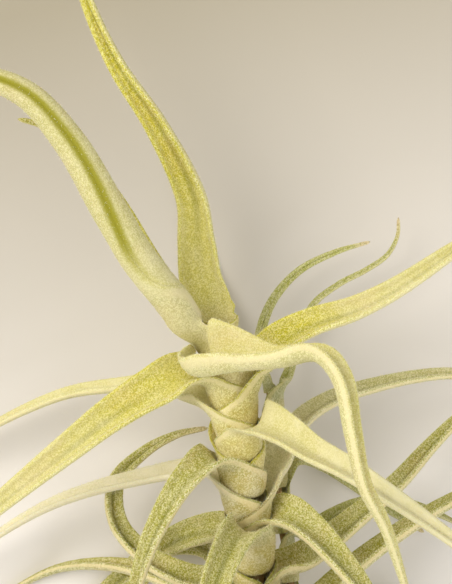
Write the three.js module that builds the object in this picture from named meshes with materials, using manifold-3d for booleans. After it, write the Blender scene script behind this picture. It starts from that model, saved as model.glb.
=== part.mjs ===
// Tillandsia paleacea, a long-stemmed air plant, lying on a table as it was picked.
// Units are millimetres. +Z is up from the table and +Y runs along the stem to its growing tip, so that
// someone who looks straight down on the plant sees its tip pointing away from them and +X to their right.
// The plant is one main stem wrapped by its leaves, and a thin side shoot that grows out of a leaf axil.
// Each leaf is one solid: a sheath that clasps the stem, and a channelled blade that tapers to a fine tip.
// The sheaths nest in each other, an older leaf always outside the next younger one.
import * as THREE from "three";
import { mergeVertices } from "three/addons/utils/BufferGeometryUtils.js";
import Module from "manifold-3d";

const wasm = await Module();
wasm.setup();

// The table top's height, before the plant is moved to stand on Z = 0, and how deep a leaf is pressed flat on it.
const TABLE = -24;
const PRESSED = 0.12;

// A shoot: the line of its stem from foot to tip, the stem's own radius, and how its sheaths flare as they rise.
const MAIN = {
  line: [
    [7.5, -88, -17.5],
    [7.2, -74, -13.5],
    [5.4, -52, -6.5],
    [3.1, -32, -1.5],
    [1.7, -19.7, 0],
    [0, -9.7, 0.5],
    [-1.2, -2, 0.8],
  ],
  footRadius: 1.9,
  stemRadius: 1.2,
  bareTip: 3.4,
  sheathStart: 1.4,
  sheathLength: 4.6,
  flare: 0.36,
};
const SIDE = {
  line: [
    [9.6, -58, -13.6],
    [10.2, -48, -15.4],
    [8.6, -36, -16.2],
    [7.6, -26, -16.2],
    [6.5, -13.5, -16],
  ],
  footRadius: 0.75,
  stemRadius: 0.55,
  bareTip: 1.2,
  sheathStart: 0.75,
  sheathLength: 6.7,
  flare: 0.06,
};

// Clearance between nested sheaths, and the sheath's wall. The wall is thicker where the leaves stand further apart.
const SHEATH_GAP = 0.18;
const SHEATH_WALL = [0.5, 0.65];
// Half the angle that a sheath wraps round its stem, in degrees, at its foot, its middle and its mouth.
const SHEATH_WRAP = [166, 130, 88];

// The blade, as a share of its length from 0 at the sheath's mouth to 1 at the tip. Its section is an arc.
const BLADE_WIDTH = 3.6; // half the blade's width, laid flat, near its base
const TIP_WIDTH = 0.35;
const BLADE_THICK = 0.78;
const TIP_THICK = 0.46;
// Half the angle of the section's arc just past the sheath, further out and at the tip, in degrees.
const BASE_ROLL = 64;
const BLADE_ROLL = [74, 115];

// How far past the mouth, along the stem, a blade keeps clear of the younger leaves inside it.
const CLASP_REACH = 6;
// How much more steeply than the sheath it leans out there.
const CLASP_SPREAD = 0.22;

// Each leaf's blade is worked out at this many even stations, and the solid uses the ones listed here.
const STATIONS = 120;
const CLASP_STATIONS = [0, 2, 5, 9];
const BLADE_STATIONS = [16, 27, 40, 54, 70, 87, 104, 120];
const SHEATH_SIDES = 10;
const BLADE_SIDES = 4;

// The leaves that were set by eye, youngest first. "below" is how far the sheath's mouth lies below the stem's
// tip, and "round" is where on the stem the midrib stands: 0 is +X and 90 is up from the table, in degrees.
// "path" is the midrib beyond the mouth, or the middle of the roll of a leaf that is "rolled" into a tube, and
// "faces" says which way the channel opens by some share of the blade's length. "ears" are stretches of a margin
// that stand up: its side, where it begins, peaks and ends along the blade, and its height.
const SET_LEAVES = [
  {
    below: 1.4, round: -100, width: 1.2, roll: [82, 132], rollEase: 0.7, mouth: 64, settles: 0.07,
    faces: [[0.1, -0.1, 0, 1], [0.35, -0.4, -0.1, 0.9]],
    path: [[-3.4, 1.5, -3.4], [-3.9, 7, -3.2], [-4.4, 13.6, -2.4], [-9.2, 23.4, -1], [-15.2, 32.3, 0], [-19.4, 41, 1],
      [-23.5, 54, 0]],
  },
  {
    below: 3.9, round: 214, width: 0.5, mouth: 68, taper: 2.6, twistFrom: 0.15, faces: [[0.4, 0.2, 0.3, 0.9]],
    path: [[-6.2, -3, -4.4], [-10.6, 3.6, -3], [-15.6, 12.4, 0.6], [-20.4, 19.2, 4.4], [-24.4, 22.6, 7.4],
      [-28.7, 23.8, 9.5]],
  },
  {
    below: 6.3, round: 150, width: 1.75, taper: 3.2, roll: [166, 168], baseRoll: 170, mouth: 90, rolled: true,
    twistFrom: 0.08, faces: [[0.28, -0.25, -0.1, 1], [0.5, 0.15, 0.1, 1]], rings: 13, sides: 8,
    clasp: [0, 2, 5, 8, 12],
    path: [[-4.6, -6.2, 3.6], [-6.8, -2.3, 5.4], [-12.1, 4.7, 9.4], [-16, 11.4, 12.2], [-20.9, 20, 15.6],
      [-26.4, 26.1, 18.4], [-32, 28.2, 19.6], [-38, 27.7, 18.8], [-43, 25.4, 17]],
  },
  {
    below: 8.7, round: 124, width: 1.16, roll: [94, 112], baseRoll: 90, mouth: 92,
    ears: [[-1, 4.8, 9, 17, 4.2], [1, 3.5, 8.5, 14, 1.3]],
    faces: [[0.06, 0.1, 0.78, 0.62], [0.24, 0.2, 0.93, 0.36], [0.5, 0.85, 0.3, 0.4]],
    clasp: [0, 2, 4, 6, 8, 10, 13], begin: 17, rings: 14,
    path: [[-3.5, -11.3, 7.4], [1.4, -10.4, 12.2], [7.8, -9.7, 16.4], [12, -8.9, 20], [14.3, -11.6, 22],
      [15.7, -18, 22.4], [17.4, -25, 21.4], [20.6, -31, 18.6], [23.6, -38.6, 13.6], [26, -45.6, 8.5]],
  },
  {
    below: 11, round: 176, faces: [[0.12, 0.1, 0.56, 0.82]], width: 1.12,
    path: [[-6, -12.4, 1.8], [-10.8, -14.6, 3], [-16.6, -18.3, 4], [-21.8, -22.3, 4], [-27, -26.4, 3],
      [-32.2, -30.6, 1], [-38.3, -35.7, -2], [-45.5, -41.4, -6], [-50.5, -45.6, -9]],
  },
  {
    below: 13.3, round: -4, faces: [[0.12, -0.2, 0.6, 0.8]], width: 0.98,
    path: [[5.2, -11.4, -0.2], [7.6, -7.8, -0.6], [12.1, -5.2, -0.8], [18.5, -3, -0.5], [23.3, -0.6, 0],
      [27.7, 2.2, 0], [32.3, 5.4, 0], [39.3, 9.5, -1], [46.1, 12.1, -3], [51, 13, -5]],
  },
  {
    below: 15.5, round: 203, faces: [[0.12, 0, 0.85, 0.5]], width: 0.7,
    path: [[-4.8, -15.6, -3.8], [-9, -13.8, -7.4], [-15.8, -14.4, -11], [-24.1, -15.7, -14], [-34.5, -20.1, -17],
      [-41.7, -24.6, -19.6], [-48.5, -30.2, -22.6]],
  },
  {
    below: 18, round: 46, faces: [[0.07, 0.1, 0.5, 0.87], [0.3, 0.1, 0.65, 0.75]], width: 0.9,
    path: [[5.2, -18.8, 4.6], [8.1, -19.9, 7.4], [11.6, -22.2, 10], [16.1, -24.4, 12], [20.8, -27.2, 13],
      [25.6, -30.4, 12.6], [31.3, -34.5, 11], [37.2, -39.3, 8], [41.4, -43.4, 5]],
  },
  {
    below: 20.3, round: -100, faces: [[0.12, 0, -0.4, 1]], width: 0.85,
    path: [[0.8, -17.4, -9.5], [-0.2, -11, -16], [-1.8, -3, -21], [-3.6, 5, -23.6], [-5.8, 14, -24], [-8.8, 22, -23.9],
      [-13.4, 30.4, -23.7]],
  },
  {
    below: 23, round: 146, faces: [[0.12, -0.3, 0.7, 0.65]], width: 0.8, clasp: [0, 1, 2, 3, 5, 7, 10],
    path: [[-2.2, -24.2, 3.5], [-4.4, -25.7, 5.6], [-6.5, -28.2, 6.8], [-8.4, -31.4, 7], [-10.4, -35.6, 6.4],
      [-12.2, -41.2, 4.4], [-13.8, -47.4, 2], [-15.6, -54.6, -1], [-18, -62, -4.5]],
  },
  {
    below: 26.4, round: 206, faces: [[0.12, 0, 0.85, 0.5]], width: 0.72, clasp: [0, 1, 2, 3, 5, 7, 10],
    path: [[-2.6, -26.4, -4.4], [-7, -26.8, -7], [-13, -28.1, -9.2], [-20, -29.9, -11], [-26.4, -32.3, -12.5],
      [-33, -36, -14.5], [-39.8, -41, -17.4], [-45.6, -46.6, -20.4]],
  },
  {
    below: 28.8, round: -32, faces: [[0.12, -0.3, 0.75, 0.6]], width: 0.75,
    path: [[7.4, -26.4, -5], [9.2, -22.4, -7], [11.9, -18.9, -8.6], [16.4, -16.2, -10], [23, -14.2, -11.2],
      [29, -13, -12.4], [34, -12.6, -13.4], [41.3, -13.6, -14.6], [48.5, -16, -16.4], [54, -19.4, -18.6]],
  },
  {
    below: 31.5, round: 14, faces: [[0.12, 0.3, 0.8, 0.5]],
    path: [[8.5, -32.6, 0.5], [11.6, -34.4, 2.3], [15, -37.8, 3.6], [18.4, -42, 3.6], [21.6, -47.6, 1.6],
      [24.4, -54, -2.4], [26.2, -61, -7], [27.4, -67.4, -12.6]],
  },
  {
    below: 34.4, round: 98, faces: [[0.12, 0, 0.6, 0.8]],
    path: [[2.6, -33.6, 6.2], [0.8, -35, 11], [-1.2, -39, 15.4], [-3, -45.6, 18], [-4.4, -53.6, 18], [-5, -62, 15.4],
      [-4.6, -70, 11]],
  },
  {
    below: 37.4, round: -112, faces: [[0.12, 0, 0.5, 1]],
    path: [[1.4, -36.6, -9.6], [-2, -36.4, -15], [-7.4, -38.4, -19.4], [-14, -43, -22.4], [-21.4, -49.6, -23.6],
      [-28.6, -57.4, -23.6], [-35, -66, -23.6]],
  },
  {
    below: 40.4, round: -16, faces: [[0.12, -0.3, 0.8, 0.5]],
    path: [[10.2, -40.4, -5.4], [14.4, -38, -7], [19.6, -34, -8.6], [25.6, -29, -10], [31, -23.4, -12.6],
      [36.2, -18.8, -15.6], [41, -16.6, -19], [45.4, -16.8, -22]],
  },
  {
    below: 43.7, round: 188, faces: [[0.12, 0.4, 0.7, 0.5]],
    path: [[-1.4, -43.4, -5.6], [-6, -42.8, -7.8], [-12, -40, -10], [-16.6, -34.8, -11.6], [-16.8, -29.2, -13],
      [-12.6, -24.6, -14], [-7.6, -21.8, -14.6], [-2.6, -20.6, -15]],
  },
];

// The leaves of the lower stem follow a rule: they stand a golden angle apart, arch out and curl back.
const LOWER = {
  count: 10,
  firstBelow: 47,
  spacing: 3.3,
  firstRound: 68,
  turn: 137.5,
  length: [54, 66],
  endLean: [96, 138],
  sway: [-26, 26],
  dry: 3,
};

// The side shoot's leaves, youngest first, set by eye like the others.
const SIDE_LEAVES = [
  {
    below: 0.4, round: 130, faces: [[0.12, 0.3, 0.2, 1]], width: 0.26, sheathLength: 1.4, sheathStart: 0.4,
    path: [[5.6, -11.4, -16], [5, -8.6, -16.6], [5.5, -5, -17], [7.4, -0.8, -17], [11.2, 3.3, -16], [16.5, 6, -15],
      [21.8, 7.6, -14]],
  },
  {
    below: 2.2, round: 20, faces: [[0.12, -0.4, 0.6, 0.7]], width: 0.2, sheathLength: 14,
    path: [[9.3, -13.5, -17.2], [11.2, -7.6, -18], [13.2, -2.2, -18], [17.1, 1.1, -17], [21.4, 3.4, -16.6],
      [24.6, 5.7, -16.4], [26.1, 8.6, -16.2], [26.2, 11.4, -16]],
  },
  {
    below: 16.5, round: -80, faces: [[0.12, 0.2, 0.3, 1]], width: 0.55,
    path: [[9.6, -26, -19.4], [12, -25.6, -21.8], [15.6, -27.2, -23.2], [20, -30.2, -23.6], [25.2, -33.9, -23.6],
      [31, -37.6, -23.6]],
  },
  {
    below: 24, round: 8, faces: [[0.12, 0, 0.8, 0.6]], width: 0.6,
    path: [[12.2, -37.4, -15.8], [16, -34.6, -15.2], [20.6, -32.4, -15], [25.8, -32, -15.4], [31, -33.4, -16.6],
      [36.4, -36, -18.4]],
  },
  {
    below: 31.5, round: -120, faces: [[0.12, 0, 0.4, 1]], width: 0.55,
    path: [[8.4, -43.6, -18.4], [7.2, -43, -21], [3.6, -44.6, -23.2], [-2.4, -48.6, -23.6], [-8, -54.4, -23.6]],
  },
  {
    below: 38.5, round: -20, faces: [[0.12, 0, 0.8, 0.6]], width: 0.6,
    path: [[13.4, -50.6, -17], [17.8, -48.8, -19.2], [23.6, -48.2, -21.4], [30, -49, -22.8], [36.4, -50.4, -23.6],
      [43, -50.4, -23.6]],
  },
];

const rad = THREE.MathUtils.degToRad;
const lerp = THREE.MathUtils.lerp;
const smooth = THREE.MathUtils.smoothstep;
const vec = (p) => new THREE.Vector3(...p);

// An even spread of values between low and high, one for each whole number n: the golden ratio's multiples.
function spread(n, [low, high]) {
  const golden = 0.618034;
  return low + (high - low) * ((n * golden) % 1);
}

// A shoot's centre line, read by the distance below its tip.
function stemLine(shoot) {
  const curve = new THREE.CatmullRomCurve3(shoot.line.map(vec), false, "centripetal");
  curve.arcLengthDivisions = 800;
  const length = curve.getLength();
  const share = (below) => THREE.MathUtils.clamp(1 - below / length, 0, 1);
  const point = (below) => curve.getPointAt(share(below));
  const tangent = (below) => curve.getTangentAt(share(below));
  const samples = 400;
  const table = Array.from({ length: samples + 1 }, (_, i) => {
    const below = length * (1 - i / samples);
    return { below, at: point(below) };
  });
  return { length, point, tangent, table };
}

// The direction out of the stem at an angle round it: 0 is +X and 90 is up from the table.
function outward(axis, round) {
  const right = new THREE.Vector3(1, 0, 0).addScaledVector(axis, -axis.x).normalize();
  const up = new THREE.Vector3().crossVectors(right, axis);
  return right.multiplyScalar(Math.cos(rad(round))).addScaledVector(up, Math.sin(rad(round)));
}

// The point of a shoot's line that is nearest to p, and the distance below the tip there.
function nearest(line, p) {
  let best = line.table[0];
  let least = Infinity;
  for (const row of line.table) {
    const d = row.at.distanceToSquared(p);
    if (d < least) {
      least = d;
      best = row;
    }
  }
  return best;
}

// The blade of a leaf that follows the rule: it leans out of the stem more and more, sways to one side, and
// glides along the table where it comes down to it.
function archedPath(shoot, line, leaf) {
  const axis = line.tangent(leaf.below);
  const out = outward(axis, leaf.round);
  const side = new THREE.Vector3().crossVectors(axis, out);
  const wall = shoot.sheathStart + shoot.flare * shoot.sheathLength;
  const p = line.point(leaf.below).addScaledVector(out, wall);
  const startLean = 26;
  const settle = 7; // a leaf this far above the table starts to level off
  const rest = TABLE + 0.4;
  const marks = [0.06, 0.16, 0.3, 0.46, 0.64, 0.82, 1].map((m) => Math.round(m * leaf.length));
  const path = [];
  for (let s = 1; s <= leaf.length; s += 1) {
    const t = s / leaf.length;
    const lean = rad(lerp(startLean, leaf.endLean, Math.pow(t, 0.55)));
    const sway = rad(leaf.sway * t);
    const step = axis.clone().multiplyScalar(Math.cos(lean));
    step.addScaledVector(out, Math.sin(lean) * Math.cos(sway));
    step.addScaledVector(side, Math.sin(lean) * Math.sin(sway));
    const steepest = -Math.max(0, p.z - rest) / settle;
    if (step.z < steepest) {
      step.z = steepest;
      if (Math.hypot(step.x, step.y) < 0.35) step.y -= 0.5;
      step.normalize();
    }
    p.add(step);
    if (marks.includes(s)) path.push(p.toArray());
  }
  return path;
}

// The stations of a leaf: for each, the midrib's place, the way that the channel opens, the way across it, the
// half width laid flat, the half angle of its arc, its thickness, and how hollow it is.
function leafStations(shoot, line, leaf) {
  const foot = leaf.below + leaf.sheathLength;
  const sheathRadius = (below) => leaf.sheathStart + shoot.flare * (foot - below) + leaf.wall / 2;

  const wraps = [SHEATH_WRAP[0], Math.max(SHEATH_WRAP[1], leaf.mouth), leaf.mouth];
  const sheath = wraps.map((wrap, i) => {
    const below = foot - (leaf.sheathLength * i) / (SHEATH_WRAP.length - 1);
    const axis = line.tangent(below);
    const out = outward(axis, leaf.round);
    const radius = sheathRadius(below);
    const opens = out.clone().negate();
    return {
      at: line.point(below).addScaledVector(out, radius),
      opens,
      across: new THREE.Vector3().crossVectors(axis, opens),
      half: radius * rad(wrap),
      roll: rad(wrap),
      thick: leaf.wall,
      hollow: 1,
      s: leaf.below - below,
    };
  });

  const mouth = sheath[sheath.length - 1];
  const points = [sheath[0].at, mouth.at, ...leaf.path.map(vec)];
  const curve = new THREE.CatmullRomCurve3(points, false, "centripetal");
  const fine = 20;
  const first = fine;
  const dots = curve.getPoints(fine * (points.length - 1)).slice(first);
  const reach = [0];
  for (let i = 1; i < dots.length; i += 1) reach.push(reach[i - 1] + dots[i].distanceTo(dots[i - 1]));
  const length = reach[reach.length - 1];

  const stations = [];
  let tangent = line.tangent(leaf.below);
  let carried = mouth.opens.clone();
  let k = 0;
  for (let i = 0; i <= STATIONS; i += 1) {
    const t = i / STATIONS;
    const s = t * length;
    while (k < dots.length - 2 && reach[k + 1] < s) k += 1;
    const at = dots[k].clone().lerp(dots[k + 1], (s - reach[k]) / (reach[k + 1] - reach[k]));
    const ahead = i === 0 ? tangent.clone() : dots[k + 1].clone().sub(dots[k]).normalize();
    carried.applyQuaternion(new THREE.Quaternion().setFromUnitVectors(tangent, ahead));
    tangent = ahead;
    const opens = carried.clone();
    let from = leaf.twistFrom;
    for (const [end, ...direction] of leaf.faces) {
      opens.lerp(vec(direction).normalize(), smooth(t, from, end));
      from = end;
    }
    opens.addScaledVector(ahead, -opens.dot(ahead)).normalize();
    const half = leaf.width * (TIP_WIDTH + BLADE_WIDTH * (1 - Math.pow(t, leaf.taper)))
      + leaf.widening * Math.exp(-t / leaf.settles);
    const [rollBase, rollTip] = leaf.roll;
    const roll = lerp(leaf.baseRoll, rollBase, smooth(t, 0.04, 0.3))
      + (leaf.mouth - leaf.baseRoll) * Math.exp(-t / 0.03)
      + (rollTip - rollBase) * Math.pow(t, leaf.rollEase);
    if (leaf.rolled) at.addScaledVector(opens, (-smooth(t, 0.01, 0.1) * half) / rad(roll));
    stations.push({
      at,
      s,
      opens,
      across: new THREE.Vector3().crossVectors(ahead, opens),
      half,
      roll: rad(roll),
      thick: lerp(lerp(leaf.wall, BLADE_THICK, smooth(t, 0, 0.1)), TIP_THICK, smooth(t, 0.75, 1)),
      hollow: 1 - smooth(t, 0.72, 0.94),
    });
  }
  return { sheath, blade: stations, foot };
}

// A point of a station's section. v runs from -1 to 1 across the leaf, and face is 1 on the outer face and -1
// on the channel's face, which fills in towards the solid tip of the blade. The flats of the channel's face
// touch the true arc from outside, so that a sheath's flats stay clear of the round that they clasp.
function sectionPoint(station, v, face, sides, ears) {
  const radius = station.half / station.roll;
  const flat = face < 0 ? Math.cos(station.roll / sides) : 1;
  const r = Math.max((radius + (face * station.thick) / 2) / flat, 0.08);
  const a = v * station.roll;
  let deep = radius - r * Math.cos(a);
  let wide = r * Math.sin(a);
  if (face < 0) {
    const brim = radius - r * Math.cos(station.roll);
    deep = lerp(brim, deep, station.hollow);
    if (station.roll > Math.PI / 2) wide *= lerp(Math.sin(station.roll), 1, station.hollow);
  }
  for (const ear of ears) deep += earRise(ear, station.s, v);
  return station.at.clone().addScaledVector(station.opens, deep).addScaledVector(station.across, wide);
}

// How far an ear lifts a point that is s along the blade, at v across it.
function earRise([side, begins, peaks, ends, height], s, v) {
  const falling = 1 - THREE.MathUtils.clamp((s - peaks) / (ends - peaks), 0, 1);
  return height * (s < peaks ? smooth(s, begins, peaks) : falling) * smooth(v * side, 0.3, 1);
}

// A ring of points round a station's section: the outer face from one margin to the other, then the channel back.
function ring(station, sides, ears) {
  const outer = [];
  const inner = [];
  for (let i = 0; i <= sides; i += 1) {
    const v = (2 * i) / sides - 1;
    outer.push(sectionPoint(station, v, 1, sides, ears));
    inner.push(sectionPoint(station, v, -1, sides, ears));
  }
  return { outer, inner, sides };
}

// Moves a leaf's points out of the way of the younger leaves that its base clasps.
function keepOutside(shoot, line, leaf, made, rings) {
  for (const { outer, inner } of rings) {
    for (const [points, extra] of [[outer, leaf.wall], [inner, 0]]) {
      for (const p of points) {
        const { below, at } = nearest(line, p);
        if (below < 0.05 || below < leaf.below - CLASP_REACH) continue;
        const past = Math.max(0, leaf.below - below);
        const need = leaf.sheathStart + shoot.flare * (made.foot - below) + CLASP_SPREAD * past + extra;
        const away = p.clone().sub(at);
        if (away.length() < need) p.copy(at).addScaledVector(away.normalize(), need);
      }
    }
  }
}

// Lifts each ring that would pass through the table until it is just pressed on it.
function layOnTable(rings) {
  for (const { outer, inner } of rings) {
    const points = [...outer, ...inner];
    const lowest = Math.min(...points.map((p) => p.z));
    const lift = TABLE - PRESSED - lowest;
    if (lift > 0) for (const p of points) p.z += lift;
  }
}

// One closed skin over a leaf's rings. Between two rings each step takes the shorter diagonal of the outer face,
// and the channel's face is split the same way.
function skin(rings) {
  const positions = [];
  const index = [];
  const starts = rings.map((r) => {
    const start = positions.length / 3;
    for (const p of [...r.outer, ...r.inner]) positions.push(p.x, p.y, p.z);
    return start;
  });
  const row = (i, inner) => {
    const n = rings[i].sides + 1;
    return Array.from({ length: n }, (_, j) => starts[i] + (inner ? n : 0) + j);
  };
  const strip = (a, b, steps, flip) => {
    let i = 0;
    let j = 0;
    for (const stepA of steps) {
      const triangle = stepA ? [a[i], b[j], a[i + 1]] : [a[i], b[j], b[j + 1]];
      index.push(...(flip ? triangle.reverse() : triangle));
      if (stepA) i += 1;
      else j += 1;
    }
  };
  const shortSteps = (a, b) => {
    const steps = [];
    let i = 0;
    let j = 0;
    while (i < a.length - 1 || j < b.length - 1) {
      const viaA = i < a.length - 1 ? a[i + 1].distanceTo(b[j]) : Infinity;
      const viaB = j < b.length - 1 ? a[i].distanceTo(b[j + 1]) : Infinity;
      steps.push(viaA < viaB);
      if (viaA < viaB) i += 1;
      else j += 1;
    }
    return steps;
  };
  const square = [true, false];
  for (let i = 0; i < rings.length - 1; i += 1) {
    const [a, b] = [row(i, false), row(i + 1, false)];
    const [c, d] = [row(i, true), row(i + 1, true)];
    const steps = shortSteps(rings[i].outer, rings[i + 1].outer);
    strip(a, b, steps, false);
    strip(c, d, steps, true);
    strip([c[0], a[0]], [d[0], b[0]], square, false);
    strip([a.at(-1), c.at(-1)], [b.at(-1), d.at(-1)], square, false);
  }
  const cap = (i, flip) => {
    const steps = Array.from({ length: 2 * rings[i].sides }, (_, n) => n % 2 === 0);
    strip(row(i, false), row(i, true), steps, flip);
  };
  cap(0, true);
  cap(rings.length - 1, false);
  const geometry = new THREE.BufferGeometry();
  geometry.setAttribute("position", new THREE.Float32BufferAttribute(positions, 3));
  geometry.setIndex(index);
  return geometry;
}

function toSolid(geometry) {
  const bare = geometry.clone();
  bare.deleteAttribute("normal");
  bare.deleteAttribute("uv");
  const merged = mergeVertices(bare, 1e-4);
  return new wasm.Manifold(new wasm.Mesh({
    numProp: 3,
    vertProperties: merged.getAttribute("position").array,
    triVerts: new Uint32Array(merged.index.array),
  }));
}

function toGeometry(solid) {
  const mesh = solid.getMesh();
  const geometry = new THREE.BufferGeometry();
  geometry.setAttribute("position", new THREE.BufferAttribute(mesh.vertProperties, 3));
  geometry.setIndex(new THREE.BufferAttribute(mesh.triVerts, 1));
  geometry.computeVertexNormals();
  return geometry;
}

// Cuts off what is pressed below the table top, which leaves a small flat where the leaf rests.
function flattened(geometry) {
  geometry.computeBoundingBox();
  if (geometry.boundingBox.min.z >= TABLE) return geometry;
  const size = 400;
  const block = new THREE.BoxGeometry(size, size, size).translate(0, 0, TABLE - size / 2);
  return toGeometry(toSolid(geometry).subtract(toSolid(block)));
}

function leafGeometry(shoot, line, leaf) {
  const made = leafStations(shoot, line, leaf);
  const { begin, rings: count, ears } = leaf;
  const rings = made.sheath.slice(0, -1).map((s) => ring(s, SHEATH_SIDES, ears));
  for (const i of leaf.clasp) rings.push(ring(i === 0 ? made.sheath.at(-1) : made.blade[i], SHEATH_SIDES, ears));
  const even = Array.from({ length: count }, (_, i) => Math.round(begin + ((STATIONS - begin) * i) / (count - 1)));
  for (const i of count ? even : BLADE_STATIONS) rings.push(ring(made.blade[i], leaf.sides, ears));
  keepOutside(shoot, line, leaf, made, rings);
  layOnTable(rings);
  return flattened(skin(rings));
}

// A shoot's own stem: round, thicker and broken off at its foot, with a blunt growing tip inside the last leaf.
function stemGeometry(shoot, line) {
  const sides = 10;
  const steps = 16;
  const positions = [];
  const index = [];
  const top = shoot.bareTip;
  for (let i = 0; i <= steps; i += 1) {
    const below = lerp(line.length, top, i / steps);
    const axis = line.tangent(below);
    const thicker = (shoot.footRadius - shoot.stemRadius) * Math.exp((below - line.length) / 2.5);
    const radius = (shoot.stemRadius + thicker) * (i === steps ? 0.35 : 1);
    for (let j = 0; j < sides; j += 1) {
      const p = line.point(below).addScaledVector(outward(axis, (360 * j) / sides), radius);
      positions.push(p.x, p.y, p.z);
    }
  }
  for (let i = 0; i < steps; i += 1) {
    for (let j = 0; j < sides; j += 1) {
      const [a, b] = [i * sides + j, i * sides + ((j + 1) % sides)];
      index.push(a, a + sides, b, b, a + sides, b + sides);
    }
  }
  for (let j = 1; j < sides - 1; j += 1) {
    const last = steps * sides;
    index.push(0, j, j + 1, last, last + j + 1, last + j);
  }
  const geometry = new THREE.BufferGeometry();
  geometry.setAttribute("position", new THREE.Float32BufferAttribute(positions, 3));
  geometry.setIndex(index);
  return geometry;
}

// Fills in what a leaf leaves to its shoot: the wall from the room to the next younger leaf, and its widths.
function completed(shoot, leaves) {
  return leaves.map((leaf, i) => {
    const room = i === 0 ? 0 : shoot.flare * (leaf.below - leaves[i - 1].below) - SHEATH_GAP;
    const wall = THREE.MathUtils.clamp(room, ...SHEATH_WALL);
    const full = {
      width: 1, taper: 1, settles: 0.06, faces: [], twistFrom: 0, ears: [], mouth: SHEATH_WRAP[2],
      baseRoll: BASE_ROLL, roll: BLADE_ROLL, rollEase: 1.3,
      sheathStart: shoot.sheathStart, sheathLength: shoot.sheathLength,
      clasp: CLASP_STATIONS, begin: BLADE_STATIONS[0], rings: 0, sides: BLADE_SIDES,
      ...leaf,
    };
    const radius = full.sheathStart + shoot.flare * full.sheathLength + wall / 2;
    const widening = radius * rad(full.mouth) - full.width * (TIP_WIDTH + BLADE_WIDTH);
    return { ...full, wall, widening };
  });
}

const COLOURS = {
  young: 0xb9b14c,
  grown: 0xc6bd78,
  side: 0xa9ad78,
  dry: 0xa98a56,
  stem: 0xb79a5e,
};

function mesh(name, geometry, colour) {
  geometry.computeVertexNormals();
  const material = new THREE.MeshStandardMaterial({ color: colour, roughness: 0.8, metalness: 0 });
  const made = new THREE.Mesh(geometry, material);
  made.name = name;
  return made;
}

const plant = new THREE.Group();

const mainLine = stemLine(MAIN);
const lower = Array.from({ length: LOWER.count }, (_, n) => {
  const dry = n >= LOWER.count - LOWER.dry;
  const leaf = {
    below: LOWER.firstBelow + n * LOWER.spacing,
    round: LOWER.firstRound + n * LOWER.turn,
    length: spread(n + 1, LOWER.length) * (dry ? 0.72 : 1),
    endLean: spread(2 * n + 1, LOWER.endLean) + (dry ? 24 : 0),
    sway: spread(3 * n + 2, LOWER.sway),
    width: dry ? 0.72 : 1,
    dry,
  };
  return { ...leaf, path: archedPath(MAIN, mainLine, leaf) };
});
const mainLeaves = completed(MAIN, [...SET_LEAVES, ...lower]);
const number = (i) => String(i + 1).padStart(2, "0");
const youngLeaves = 9;
mainLeaves.forEach((leaf, i) => {
  const colour = leaf.dry ? COLOURS.dry : i < youngLeaves ? COLOURS.young : COLOURS.grown;
  plant.add(mesh(`leaf_${number(i)}`, leafGeometry(MAIN, mainLine, leaf), colour));
});
plant.add(mesh("stem", stemGeometry(MAIN, mainLine), COLOURS.stem));

const sideLine = stemLine(SIDE);
completed(SIDE, SIDE_LEAVES).forEach((leaf, i) => {
  plant.add(mesh(`side_leaf_${i + 1}`, leafGeometry(SIDE, sideLine, leaf), COLOURS.side));
});
plant.add(mesh("side_stem", stemGeometry(SIDE, sideLine), COLOURS.stem));

// The part's origin is on the table, under the middle of the plant.
const box = new THREE.Box3().setFromObject(plant);
const middle = box.getCenter(new THREE.Vector3());
plant.position.set(-middle.x, -middle.y, -box.min.z);

export default plant;
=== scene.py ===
# Tillandsia paleacea, a long-stemmed air plant, lying on a pale table and seen from straight above.
# The plant is built in millimetres in its own coordinates: +Y runs along the main stem to its growing tip,
# +Z is up from the table, and 0,0,0 is on the stem's line near that tip.
import math

import bmesh
import bpy
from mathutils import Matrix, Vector
from mathutils.kdtree import KDTree


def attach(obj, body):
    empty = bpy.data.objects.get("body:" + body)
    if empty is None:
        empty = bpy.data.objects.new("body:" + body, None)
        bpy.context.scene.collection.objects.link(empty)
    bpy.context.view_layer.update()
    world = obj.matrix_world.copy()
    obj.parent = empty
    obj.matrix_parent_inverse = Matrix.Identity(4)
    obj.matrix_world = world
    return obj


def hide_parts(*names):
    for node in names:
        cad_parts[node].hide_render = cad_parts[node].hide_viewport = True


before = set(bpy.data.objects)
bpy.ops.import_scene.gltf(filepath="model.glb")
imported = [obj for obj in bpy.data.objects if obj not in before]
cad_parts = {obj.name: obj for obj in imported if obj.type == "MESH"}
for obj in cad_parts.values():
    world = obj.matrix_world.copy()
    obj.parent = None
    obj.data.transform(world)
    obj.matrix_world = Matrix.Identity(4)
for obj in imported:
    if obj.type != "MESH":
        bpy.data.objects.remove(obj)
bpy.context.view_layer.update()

MM = 0.001

# The table top's height in the plant's coordinates, and where their 0,0,0 lies in the frame.
TABLE = -24
SHIFT = Vector((-4.577, 17.198, -TABLE))

# A shoot: the line of its stem from foot to tip, the stem's own radius, how far below the tip the bare stem
# ends, and its sheaths: the radius of their closed foot, their length, and how they flare as they rise.
MAIN = dict(
    line=[
        (7.5, -88, -17.5),
        (7.2, -74, -13.5),
        (5.4, -52, -6.5),
        (3.1, -32, -1.5),
        (1.7, -19.7, 0),
        (0, -9.7, 0.5),
        (-1.2, -2, 0.8),
    ],
    foot_radius=1.9, stem_radius=1.2, bare_tip=3.4,
    sheath_start=1.4, sheath_length=4.6, flare=0.36,
)
SIDE = dict(
    line=[
        (9.6, -58, -13.6),
        (10.2, -48, -15.4),
        (8.6, -36, -16.2),
        (7.6, -26, -16.2),
        (6.5, -13.5, -16),
    ],
    foot_radius=0.75, stem_radius=0.55, bare_tip=1.2,
    sheath_start=0.75, sheath_length=6.7, flare=0.06,
)

# The length over which a stem's thicker foot dies out.
FOOT_FLARE = 2.5

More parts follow.
